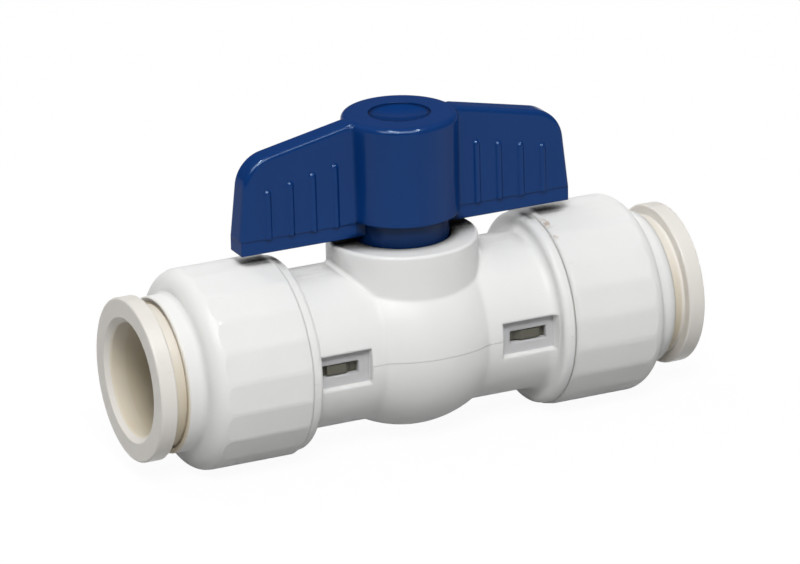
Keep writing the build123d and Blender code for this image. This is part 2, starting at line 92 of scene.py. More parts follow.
class Graph:
    """Adds and links the nodes of one node tree."""

    # Sockets of the Mix node that are live when it mixes colours
    MIX_FACTOR = 0
    MIX_FIRST = 6
    MIX_SECOND = 7
    MIX_RESULT = 2

    def __init__(self, tree: bpy.types.NodeTree) -> None:
        """Keeps the tree that the nodes go into."""
        self.tree = tree

    def add(self, kind: str, **settings: object) -> bpy.types.Node:
        """Adds one node.

        Args:
            kind: Blender's name of the node type.
            **settings: Properties of the node, such as its operation.

        Returns:
            The new node.
        """
        node = self.tree.nodes.new(kind)
        for name, value in settings.items():
            setattr(node, name, value)
        return node

    def feed(self, socket: bpy.types.NodeSocket, value: object) -> None:
        """Links an output to a socket, or sets the socket's own value.

        Args:
            socket: The input to feed.
            value: An output socket of another node, or a plain value.
        """
        if isinstance(value, bpy.types.NodeSocket):
            self.tree.links.new(value, socket)
        else:
            socket.default_value = value

    def feed_named(self, node: bpy.types.Node, inputs: dict[str, object]) -> bpy.types.Node:
        """Feeds a node's inputs by name.

        Args:
            node: The node.
            inputs: Values or sockets by input name, with _ for a space.

        Returns:
            The same node.
        """
        for name, value in inputs.items():
            self.feed(node.inputs[name.replace("_", " ")], value)
        return node

    def fed(self, kind: str, **inputs: object) -> bpy.types.Node:
        """Adds one node of a kind and feeds its inputs by name."""
        return self.feed_named(self.add(kind), inputs)

    def group(self, tree: bpy.types.NodeTree, **inputs: object) -> bpy.types.Node:
        """Places a shared node group and feeds its inputs by name."""
        return self.feed_named(self.add("ShaderNodeGroup", node_tree=tree), inputs)

    def mask(self, tree: bpy.types.NodeTree, **inputs: object) -> bpy.types.NodeSocket:
        """Places a shared node group that puts out a mask, and gives the mask's socket."""
        return self.group(tree, **inputs).outputs["Mask"]

    def math(
        self, operation: str, first: Value, second: Value = 0.0, clamp: bool = False
    ) -> bpy.types.NodeSocket:
        """Adds a Math node.

        Args:
            operation: Name of the operation.
            first: First operand.
            second: Second operand, where the operation has one.
            clamp: Whether the result is kept between 0 and 1.

        Returns:
            The result's socket.
        """
        node = self.add("ShaderNodeMath", operation=operation, use_clamp=clamp)
        self.feed(node.inputs[0], first)
        self.feed(node.inputs[1], second)
        return node.outputs[0]

    def product(self, first: Value, *others: Value) -> Value:
        """Multiplies values.

        Args:
            first: First factor.
            *others: The other factors.

        Returns:
            The product.
        """
        result = first
        for factor in others:
            result = self.math("MULTIPLY", result, factor)
        return result

    def square_sum(self, first: Value, second: Value) -> bpy.types.NodeSocket:
        """Adds the squares of two values."""
        return self.math("ADD", self.product(first, first), self.product(second, second))

    def apart(self, first: Value, second: Value) -> bpy.types.NodeSocket:
        """Gives how far two values are apart."""
        return self.math("ABSOLUTE", self.math("SUBTRACT", first, second))

    def ramp(
        self, value: Value, low: Value, high: Value, to_low: Value = 0.0, to_high: Value = 1.0
    ) -> bpy.types.NodeSocket:
        """Maps a value smoothly from one range to another.

        Args:
            value: The value to map.
            low: Where the source range starts.
            high: Where the source range ends.
            to_low: Result at the start.
            to_high: Result at the end.

        Returns:
            The mapped value's socket.
        """
        node = self.add("ShaderNodeMapRange", interpolation_type="SMOOTHSTEP")
        for socket, item in zip(node.inputs, (value, low, high, to_low, to_high)):
            self.feed(socket, item)
        return node.outputs[0]

    def past(self, value: Value, start: Value, softness: Value) -> bpy.types.NodeSocket:
        """Mask that rises softly from 0 to 1 past a start."""
        return self.ramp(value, start, self.math("ADD", start, softness))

    def within(self, value: Value, limit: Value, softness: Value) -> bpy.types.NodeSocket:
        """Mask that is 1 up to a limit and fades softly to 0 past it."""
        return self.ramp(value, self.math("ADD", limit, softness), limit)

    def noise(self, vector: Value, scale: Value, detail: float) -> bpy.types.NodeSocket:
        """Reads a noise texture at a place.

        Args:
            vector: Place that the noise is read at.
            scale: Cells to the metre.
            detail: Octaves of finer noise.

        Returns:
            The noise value's socket.
        """
        return self.fed("ShaderNodeTexNoise", Vector=vector, Scale=scale, Detail=detail).outputs[0]

    def blend(self, factor: Value, first: object, second: object) -> bpy.types.NodeSocket:
        """Mixes two colours.

        Args:
            factor: Share of the second colour.
            first: Colour or colour socket.
            second: Colour or colour socket.

        Returns:
            The mixed colour's socket.
        """
        node = self.add("ShaderNodeMix", data_type="RGBA")
        self.feed(node.inputs[self.MIX_FACTOR], factor)
        self.feed(node.inputs[self.MIX_FIRST], rgba(first))
        self.feed(node.inputs[self.MIX_SECOND], rgba(second))
        return node.outputs[self.MIX_RESULT]

    def vectors(self, operation: str, first: object, second: object) -> bpy.types.Node:
        """Adds a Vector Math node.

        Args:
            operation: Name of the operation.
            first: First vector or vector socket.
            second: Second vector or vector socket.

        Returns:
            The new node.
        """
        node = self.add("ShaderNodeVectorMath", operation=operation)
        self.feed(node.inputs[0], first)
        self.feed(node.inputs[1], second)
        return node

    def axes(self, vector: bpy.types.NodeSocket) -> Sockets:
        """Splits a vector.

        Args:
            vector: The vector's socket.

        Returns:
            The sockets of its coordinates, by the names X, Y and Z.
        """
        node = self.fed("ShaderNodeSeparateXYZ", Vector=vector)
        return {socket.name: socket for socket in node.outputs}


def rgba(value: object) -> object:
    """Gives a plain colour its alpha, and passes a socket through."""
    return value if isinstance(value, bpy.types.NodeSocket) else (*value, 1.0)


class SharedEffects:
    """Surface effects that more than one finish uses, each a shader node group made once."""

    CLOUD_DETAIL = 3.0
    CLOUD_SHARE = 1.4
    CLOUD_EDGES = (0.3, 0.7)
    GRAIN_DETAIL = 2.0
    GRAIN_SHARE = 0.6
    RUB_STRETCH = (0.12, 1.0, 1.0)
    RUB_DETAIL = 1.0
    RUB_EDGE = 0.78
    RUB_EDGE_DROP = 0.2
    RUB_SOFTNESS = 0.06
    PATCH_SIZE = 24.0
    PATCH_DETAIL = 2.0
    PATCH_EDGES = (0.45, 0.6)
    SPOT_DETAIL = 3.0
    SPOT_EDGES = (0.46, 0.6)
    # Heights over the axis at which rings of stains and painted shade are faint and full.
    RING_FAINT_TOP = 14.0 * MM
    RING_FULL_LOW = -4.0 * MM
    SHADE_SAMPLES = 8

    def __init__(self) -> None:
        """Builds the groups."""
        self.moulded_skin = self._moulded_skin()
        self.rub_marks = self._rub_marks()
        self.plane_band = self._plane_band()
        self.round_spot = self._round_spot()
        self.ring_stain = self._ring_stain()
        self.pocket_shade = self._pocket_shade()
        self.contact_shade = self._contact_shade()
        self.drum_stain = self._drum_stain()

    @staticmethod
    def _start(
        name: str,
        values: tuple[str, ...],
        vectors: tuple[str, ...] = ("Position",),
        outputs: tuple[str, ...] = ("Mask",),
    ) -> tuple[Graph, Sockets, Sockets]:
        """Starts a group.

        Args:
            name: Name of the group.
            values: Names of the inputs that are values.
            vectors: Names of the inputs that are vectors.
            outputs: Names of the outputs, which are all values.

        Returns:
            The graph, its input sockets by name and its output sockets by name.
        """
        tree = bpy.data.node_groups.new(name, "ShaderNodeTree")
        for labels, kind in ((vectors, "NodeSocketVector"), (values, "NodeSocketFloat")):
            for label in labels:
                tree.interface.new_socket(label, in_out="INPUT", socket_type=kind)
        for label in outputs:
            tree.interface.new_socket(label, in_out="OUTPUT", socket_type="NodeSocketFloat")
        graph = Graph(tree)
        source = graph.add("NodeGroupInput")
        sink = graph.add("NodeGroupOutput")
        return graph, {s.name: s for s in source.outputs}, {s.name: s for s in sink.inputs}

    def _moulded_skin(self) -> bpy.types.NodeTree:
        """Clouding from the melt's flow, and the fine grain of the mould's steel.

        Returns:
            The group's tree.
        """
        graph, given, out = self._start(
            "moulded_skin",
            ("Cloud Scale", "Grain Scale", "Roughness", "Spread"),
            outputs=("Cloud", "Roughness", "Height"),
        )
        cloud = graph.noise(given["Position"], given["Cloud Scale"], self.CLOUD_DETAIL)
        grain = graph.noise(given["Position"], given["Grain Scale"], self.GRAIN_DETAIL)
        both = graph.math(
            "ADD", graph.product(cloud, self.CLOUD_SHARE), graph.product(grain, self.GRAIN_SHARE)
        )
        middle = (self.CLOUD_SHARE + self.GRAIN_SHARE) / 2
        change = graph.product(graph.math("SUBTRACT", both, middle), given["Spread"])
        graph.feed(out["Cloud"], graph.ramp(cloud, *self.CLOUD_EDGES))
        graph.feed(out["Roughness"], graph.math("ADD", given["Roughness"], change, clamp=True))
        graph.feed(out["Height"], grain)
        return graph.tree

    def _rub_marks(self) -> bpy.types.NodeTree:
        """Short fine marks along the valve, from handling and packing.

        Returns:
            The group's tree.
        """
        graph, given, out = self._start("rub_marks", ("Scale", "Amount"))
        along = graph.vectors("MULTIPLY", given["Position"], self.RUB_STRETCH).outputs[0]
        lines = graph.noise(along, given["Scale"], self.RUB_DETAIL)
        patch_scale = graph.math("DIVIDE", given["Scale"], self.PATCH_SIZE)
        patches = graph.noise(given["Position"], patch_scale, self.PATCH_DETAIL)
        edge = graph.math("SUBTRACT", self.RUB_EDGE, graph.product(given["Amount"], self.RUB_EDGE_DROP))
        marks = graph.past(lines, edge, self.RUB_SOFTNESS)
        graph.feed(out["Mask"], graph.product(marks, graph.ramp(patches, *self.PATCH_EDGES)))
        return graph.tree

    def _plane_band(self) -> bpy.types.NodeTree:
        """Soft band about a plane, given by one coordinate, its middle and its half width.

        Returns:
            The group's tree.
        """
        graph, given, out = self._start("plane_band", ("Coordinate", "Middle", "Half Width"), vectors=())
        off = graph.apart(given["Coordinate"], given["Middle"])
        graph.feed(out["Mask"], graph.ramp(off, given["Half Width"], 0.0))
        return graph.tree

    def _round_spot(self) -> bpy.types.NodeTree:
        """Ragged spot about a point of the surface.

        Returns:
            The group's tree.
        """
        graph, given, out = self._start(
            "round_spot", ("Radius", "Break Scale"), vectors=("Position", "Centre")
        )
        away = graph.vectors("DISTANCE", given["Position"], given["Centre"]).outputs["Value"]
        near = graph.ramp(away, given["Radius"], 0.0)
        broken = graph.noise(given["Position"], given["Break Scale"], self.SPOT_DETAIL)
        graph.feed(out["Mask"], graph.product(near, graph.ramp(broken, *self.SPOT_EDGES)))
        return graph.tree

    def _ring_stain(self) -> bpy.types.NodeTree:
        """Stains and painted shade at both ends, between two distances from the middle, within a radius,
        faint at the top.

        Returns:
            The group's tree.
        """
        graph, given, out = self._start(
            "ring_stain", ("Axis Height", "Start", "End", "Radius", "Softness", "Top Share")
        )
        axes = graph.axes(given["Position"])
        along = graph.math("ABSOLUTE", axes["X"])
        rise = graph.math("SUBTRACT", axes["Z"], given["Axis Height"])
        away = graph.math("SQRT", graph.square_sum(axes["Y"], rise))
        mask = graph.product(
            graph.past(along, given["Start"], given["Softness"]),
            graph.within(along, given["End"], given["Softness"]),
            graph.within(away, given["Radius"], given["Softness"]),
            graph.ramp(rise, self.RING_FAINT_TOP, self.RING_FULL_LOW, given["Top Share"], 1.0),
        )
        graph.feed(out["Mask"], mask)
        return graph.tree

    def _pocket_shade(self) -> bpy.types.NodeTree:
        """Painted shade on the floors of the snap pockets, at both ends and on both faces.

        Returns:
            The group's tree.
        """
        graph, given, out = self._start(
            "pocket_shade", ("Axis Height", "Start", "End", "Half Height", "Floor", "Softness")
        )
        axes = graph.axes(given["Position"])
        middle = graph.product(graph.math("ADD", given["Start"], given["End"]), 0.5)
        half = graph.math("SUBTRACT", given["End"], middle)
        off = graph.apart(graph.math("ABSOLUTE", axes["X"]), middle)
        rise = graph.apart(axes["Z"], given["Axis Height"])
        mask = graph.product(
            graph.within(off, half, given["Softness"]),
            graph.within(rise, given["Half Height"], given["Softness"]),
            graph.within(graph.math("ABSOLUTE", axes["Y"]), given["Floor"], given["Softness"]),
        )
        graph.feed(out["Mask"], mask)
        return graph.tree

    def _contact_shade(self) -> bpy.types.NodeTree:
        """Places that other surfaces close in on, where little light gets in; the mask of painted shade.

        Returns:
            The group's tree.
        """
        graph, given, out = self._start("contact_shade", ("Reach", "Tight", "Open", "Above", "Softness"))
        closed = graph.add("ShaderNodeAmbientOcclusion", samples=self.SHADE_SAMPLES)
        graph.feed(closed.inputs["Distance"], given["Reach"])
        high = graph.past(graph.axes(given["Position"])["Z"], given["Above"], given["Softness"])
        tight = graph.ramp(closed.outputs["AO"], given["Open"], given["Tight"])
        graph.feed(out["Mask"], graph.product(tight, high))
        return graph.tree

    def _drum_stain(self) -> bpy.types.NodeTree:
        """Zone of painted shade about the stem axis, between two radii and two heights.

        Returns:
            The group's tree.
        """
        graph, given, out = self._start("drum_stain", ("Inner", "Outer", "Low", "High", "Softness"))
        axes = graph.axes(given["Position"])
        away = graph.math("SQRT", graph.square_sum(axes["X"], axes["Y"]))
        mask = graph.product(
            graph.past(away, given["Inner"], given["Softness"]),
            graph.within(away, given["Outer"], given["Softness"]),
            graph.past(axes["Z"], given["Low"], given["Softness"]),
            graph.within(axes["Z"], given["High"], given["Softness"]),
        )
        graph.feed(out["Mask"], mask)
        return graph.tree


@dataclass(frozen=True, kw_only=True)
class Finish:
    """What every finish has: its slot, and its skin's colours, clouding, grain and roughness."""

    slot: Slot
    name: str
    colour: Colour
    cloud_colour: Colour
    roughness: float
    roughness_spread: float = 0.08
    cloud_scale: float = 60.0
    grain_scale: float = 5200.0
    grain_depth: float = 0.004 * MM


class Draft:
    """A node material in the making, on Object coordinates, with its moulded skin and running colour."""

    def __init__(self, finish: Finish, effects: SharedEffects) -> None:
        """Starts the material.

        Args:
            finish: The finish that it shows.
            effects: The shared node groups.
        """
        self.effects = effects
        self.material = bpy.data.materials.new("finish_" + finish.name)
        self.material.use_nodes = True
        nodes = self.material.node_tree.nodes
        self.shader = next(node for node in nodes if node.type == "BSDF_PRINCIPLED")
        self.graph = Graph(self.material.node_tree)
        self.position = self.graph.add("ShaderNodeTexCoord").outputs["Object"]
        self.skin = self.graph.group(
            effects.moulded_skin,
            Position=self.position,
            Cloud_Scale=finish.cloud_scale,
            Grain_Scale=finish.grain_scale,
            Roughness=finish.roughness,
            Spread=finish.roughness_spread,
        ).outputs
        self.colour = self.graph.blend(self.skin["Cloud"], finish.colour, finish.cloud_colour)

    def stain_and_shade(self, mask: Value, colour: Colour) -> None:
        """Lays a colour over the running colour where a mask is, for stains, wear and painted shade alike.
        """
        self.colour = self.graph.blend(mask, self.colour, colour)

    def bump(self, height: bpy.types.NodeSocket, depth: float) -> bpy.types.Node:
        """Puts a height on the shader's normal.

        Args:
            height: Socket of the height.
            depth: Real depth of one unit of the height.

        Returns:
            The bump node.
        """
        bump = self.graph.fed("ShaderNodeBump", Strength=1.0, Distance=depth, Height=height)
        self.graph.feed(self.shader.inputs["Normal"], bump.outputs["Normal"])
        return bump

    def done(self, roughness: bpy.types.NodeSocket) -> bpy.types.Material:
        """Ends the material.

        Args:
            roughness: Socket of the roughness.

        Returns:
            The material.
        """
        self.graph.feed(self.shader.inputs["Base Color"], self.colour)
        self.graph.feed(self.shader.inputs["Roughness"], roughness)
        return self.material


@dataclass(frozen=True, kw_only=True)
class Mark:
    """A mark of dirt, wear or painted shade on a finish: its colour, and how much it covers the plastic's
    own.
    """

    colour: Colour
    cover: float = 1.0

    def mask(self, draft: Draft) -> Value:
        """Gives how much the mark covers, here the same all over."""
        return self.cover


@dataclass(frozen=True, kw_only=True)
class Spot(Mark):
    """A ragged spot: where it is and how far it reaches."""

    centre: tuple[float, float, float]
    radius: float
    break_scale: float = 520.0

    def mask(self, draft: Draft) -> Value:
        """Places the spot.

        Args:
            draft: The material in the making.

        Returns:
            How much the mark covers.
        """
        spot = draft.graph.mask(
            draft.effects.round_spot,
            Position=draft.position,
            Centre=self.centre,
            Radius=self.radius,
            Break_Scale=self.break_scale,
        )
        return draft.graph.product(spot, self.cover)


@dataclass(frozen=True, kw_only=True)
class RingStainAndShade(Mark):
    """A patchy ring at both ends, fainter at the top: painted shade with warm bounce light, with dust as
    well at the caps' mouths.
    """

    axis_height: float
    start: float
    end: float
    radius: float
    softness: float = 0.25 * MM
    top_share: float = 0.3
    patch_scale: float = 140.0
    patch_detail: float = 3.0
    patch_low: float = 0.25
    patch_high: float = 0.7
    thin_share: float = 0.75

    def mask(self, draft: Draft) -> Value:
        """Places the ring.

        Args:
            draft: The material in the making.

        Returns:
            How much the mark covers.
        """
        graph = draft.graph
        ring = graph.mask(
            draft.effects.ring_stain,
            Position=draft.position,
            Axis_Height=self.axis_height,
            Start=self.start,
            End=self.end,
            Radius=self.radius,
            Softness=self.softness,
            Top_Share=self.top_share,
        )
        patches = graph.noise(draft.position, self.patch_scale, self.patch_detail)
        thin = self.thin_share * self.cover
        return graph.product(ring, graph.ramp(patches, self.patch_low, self.patch_high, thin, self.cover))


@dataclass(frozen=True, kw_only=True)
class DrumShade(Mark):
    """Painted shade: a darker zone about the stem axis, between two radii and two heights."""

    inner: float
    outer: float
    low: float
    high: float
    softness: float = 0.3 * MM

    def mask(self, draft: Draft) -> Value:
        """Places the zone.

        Args:
            draft: The material in the making.

        Returns:
            How much the mark covers.
        """
        zone = draft.graph.mask(
            draft.effects.drum_stain,
            Position=draft.position,
            Inner=self.inner,
            Outer=self.outer,
            Low=self.low,
            High=self.high,
            Softness=self.softness,
        )
        return draft.graph.product(zone, self.cover)


@dataclass(frozen=True, kw_only=True)
class PocketShade(Mark):
    """Painted shade on the snap pockets' floors: where the pockets start and end along the arm, their half
    height and their floor.
    """

    axis_height: float
    start: float = 14.3 * MM
    end: float = 26.0 * MM
    half_height: float = 3.35 * MM
    floor: float = 14.15 * MM
    softness: float = 0.08 * MM

    def mask(self, draft: Draft) -> Value:
        """Places the painted shade of the floors.

        Args:
            draft: The material in the making.

        Returns:
            How much the mark covers.
        """
        floors = draft.graph.mask(
            draft.effects.pocket_shade,
            Position=draft.position,
            Axis_Height=self.axis_height,
            Start=self.start,
            End=self.end,
            Half_Height=self.half_height,
            Floor=self.floor,
            Softness=self.softness,
        )
        return draft.graph.product(floors, self.cover)


@dataclass(frozen=True, kw_only=True)
class Plastic(Finish):
    """Moulded plastic with clouding, fine grain, rub marks and optional dirt lines, stains and painted
    shade.
    """

    rub_colour: Colour
    rub_scale: float = 2600.0
    rub_amount: float = 0.3
    rub_cover: float = 0.6
    rub_roughness: float = 0.12
    specular: float = 0.5
    edge_specular: float = 0.5
    edge_start: float = 0.25
    edge_end: float = 0.55
    specular_tint: Colour = WHITE
    edge_softness: float = 0.3 * MM
    edge_samples: int = 6
    blend_softness: float = 0.3 * MM
    blend_place: float = 11.3 * MM
    blend_half: float = 2.5 * MM
    dome_place: float = 46.4 * MM
    dome_half: float = 2.6 * MM
    dome_crispness: float = 0.0
    shade_reach: float = 5.0 * MM
    shade_tight: float = 0.25
    shade_open: float = 0.62
    shade_cover: float = 0.0
    shade_above: float = 0.0
    shade_softness: float = 6.0 * MM
    dish_depth: float = 0.0
    dish_radius: float = 6.0 * MM
    ior: float = 1.53
    subsurface: float = 0.0
    subsurface_reach: float = 1.0 * MM
    subsurface_spread: Colour = (1.0, 0.95, 0.9)
    seam_places: tuple[float, ...] = ()
    seam_reach: float = 0.3 * MM
    seam_clear: float = 1.2 * MM
    seam_cover: float = 0.08
    seam_colour: Colour = (0.36, 0.31, 0.24)
    wear_scale: float = 260.0
    wear_detail: float = 3.0
    wear_low: float = 0.42
    wear_high: float = 0.66
    marks: tuple[Mark, ...] = ()

    def material(self, effects: SharedEffects) -> bpy.types.Material:
        """Builds the node material.

        Args:
            effects: The shared node groups.

        Returns:
            The material.
        """
        draft = Draft(self, effects)
        graph = draft.graph
        axes = graph.axes(draft.position)
        rubs = graph.mask(
            effects.rub_marks, Position=draft.position, Scale=self.rub_scale, Amount=self.rub_amount
        )
        draft.stain_and_shade(graph.product(rubs, self.rub_cover), self.rub_colour)
        self._seam_dirt(draft, axes["X"])
        for mark in self.marks:
            draft.stain_and_shade(mark.mask(draft), mark.colour)
        # Painted shade: the colour darkens toward black where other surfaces close in.
        if self.shade_cover > 0.0:
            draft.stain_and_shade(self._shade(draft, axes["X"]), BLACK)
        self._relief(draft, axes)
        self._gloss(draft)
        return draft.done(
            graph.math("ADD", draft.skin["Roughness"], graph.product(rubs, self.rub_roughness))
        )

    def _seam_dirt(self, draft: Draft, along: bpy.types.NodeSocket) -> None:
        """Lays worn lines of dirt along the seams.

        Args:
            draft: The material in the making.
            along: Socket of the place along the flow axis.
        """
        graph = draft.graph
        for place in self.seam_places:
            seam = graph.mask(
                draft.effects.plane_band, Coordinate=along, Middle=place, Half_Width=self.seam_reach
            )
            wear = graph.noise(draft.position, self.wear_scale, self.wear_detail)
            worn = graph.ramp(wear, self.wear_low, self.wear_high, 0.0, self.seam_cover)
            draft.stain_and_shade(graph.product(seam, worn), self.seam_colour)

    def _shade(self, draft: Draft, along: bpy.types.NodeSocket) -> Value:
        """Finds where painted shade goes: where the handle closes in on the plastic, clear of the seams.

        Args:
            draft: The material in the making.
            along: Socket of the place along the flow axis.

        Returns:
            How much the shade covers.
        """
        graph = draft.graph
        clear: Value = self.shade_cover
        for place in self.seam_places:
            edge = graph.mask(
                draft.effects.plane_band, Coordinate=along, Middle=place, Half_Width=self.seam_clear
            )
            clear = graph.product(clear, graph.math("SUBTRACT", 1.0, edge))
        close = graph.mask(
            draft.effects.contact_shade,
            Position=draft.position,
            Reach=self.shade_reach,
            Tight=self.shade_tight,
            Open=self.shade_open,
            Above=self.shade_above,
            Softness=self.shade_softness,
        )
        return graph.product(close, clear)

    def _relief(self, draft: Draft, axes: Sockets) -> None:
        """Softens the edges, and puts the grain and the dish about the stem axis on the normal.

        Args:
            draft: The material in the making.
            axes: Sockets of the Object coordinates.
        """
        graph, band = draft.graph, draft.effects.plane_band
        along = graph.math("ABSOLUTE", axes["X"])
        near = graph.mask(band, Coordinate=along, Middle=self.blend_place, Half_Width=self.blend_half)
        dome = graph.mask(band, Coordinate=along, Middle=self.dome_place, Half_Width=self.dome_half)
        reach = graph.ramp(near, 0.0, 1.0, self.edge_softness, self.blend_softness)
        crisp = graph.math("SUBTRACT", 1.0, graph.product(dome, self.dome_crispness))
        edges = graph.add("ShaderNodeBevel", samples=self.edge_samples)
        graph.feed(edges.inputs["Radius"], graph.product(reach, crisp))
        dish = graph.product(graph.square_sum(axes["X"], axes["Y"]), self.dish_depth / self.dish_radius**2)
        grain = graph.product(draft.skin["Height"], self.grain_depth)
        bump = draft.bump(graph.math("ADD", dish, grain), 1.0)
        graph.feed(bump.inputs["Normal"], edges.outputs["Normal"])

    def _gloss(self, draft: Draft) -> None:
        """Sets the gloss, which may change from faces turned to the eye to faces turned away.

        Args:
            draft: The material in the making.
        """
        graph, inputs = draft.graph, draft.shader.inputs
        for name, value in (
            ("Specular IOR Level", self.specular),
            ("Specular Tint", rgba(self.specular_tint)),
            ("IOR", self.ior),
            ("Subsurface Weight", self.subsurface),
            ("Subsurface Scale", self.subsurface_reach),
            ("Subsurface Radius", self.subsurface_spread),
        ):
            inputs[name].default_value = value
        if self.edge_specular != self.specular:
            facing = graph.add("ShaderNodeLayerWeight").outputs["Facing"]
            level = graph.ramp(facing, self.edge_start, self.edge_end, self.specular, self.edge_specular)
            graph.feed(inputs["Specular IOR Level"], level)


@dataclass(frozen=True, kw_only=True)
class Rubber(Finish):
    """Matt black seal rubber with a dusty bloom."""

    slot: Slot = Slot.RUBBER
    name: str = "rubber"
    colour: Colour = (0.012, 0.012, 0.013)
    cloud_colour: Colour = (0.05, 0.05, 0.052)
    roughness: float = 0.55
    roughness_spread: float = 0.15
    cloud_scale: float = 180.0
    grain_scale: float = 7000.0
    grain_depth: float = 0.01 * MM

    def material(self, effects: SharedEffects) -> bpy.types.Material:
        """Builds the node material.

        Args:
            effects: The shared node groups.

        Returns:
            The material.
        """
        draft = Draft(self, effects)
        draft.bump(draft.skin["Height"], self.grain_depth)
        return draft.done(draft.skin["Roughness"])


@dataclass(frozen=True, kw_only=True)
class Steel(Finish):
    """Bright rolled or turned stainless steel with fine drawn lines."""

    slot: Slot = Slot.STEEL
    name: str = "steel"
    colour: Colour = (0.62, 0.61, 0.59)
    cloud_colour: Colour = (0.46, 0.44, 0.41)
    roughness: float = 0.28
    roughness_spread: float = 0.12
    cloud_scale: float = 300.0
    grain_scale: float = 9000.0
    grain_depth: float = 0.002 * MM
    line_scale: float = 4200.0
    line_amount: float = 0.9

    def material(self, effects: SharedEffects) -> bpy.types.Material:
        """Builds the node material.

        Args:
            effects: The shared node groups.

        Returns:
            The material.
        """
        draft = Draft(self, effects)
        lines = draft.graph.mask(
            effects.rub_marks, Position=draft.position, Scale=self.line_scale, Amount=self.line_amount
        )
        draft.stain_and_shade(lines, self.cloud_colour)
        draft.bump(draft.skin["Height"], self.grain_depth)
        draft.shader.inputs["Metallic"].default_value = 1.0
        return draft.done(draft.skin["Roughness"])


@dataclass(frozen=True)
class Places:
    """Where the valve's faces are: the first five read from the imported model, the rest its finer forms."""

    axis_height: float
    seam: float
    nose: float
    collet_face: float
    boss_bottom: float
    flange_thickness: float = 3.5 * MM
    flange_radius: float = 20.0 * MM
    bore_radius: float = 11.4 * MM
    nose_radius: float = 16.5 * MM
    crease_depth: float = 3.75 * MM
    dome_depth: float = 6.6 * MM
    under_handle: float = 11.0 * MM
    skirt_radius: float = 11.2 * MM
    plug_inner: float = 5.2 * MM
    plug_outer: float = 8.0 * MM
    above_all: float = 100.0 * MM


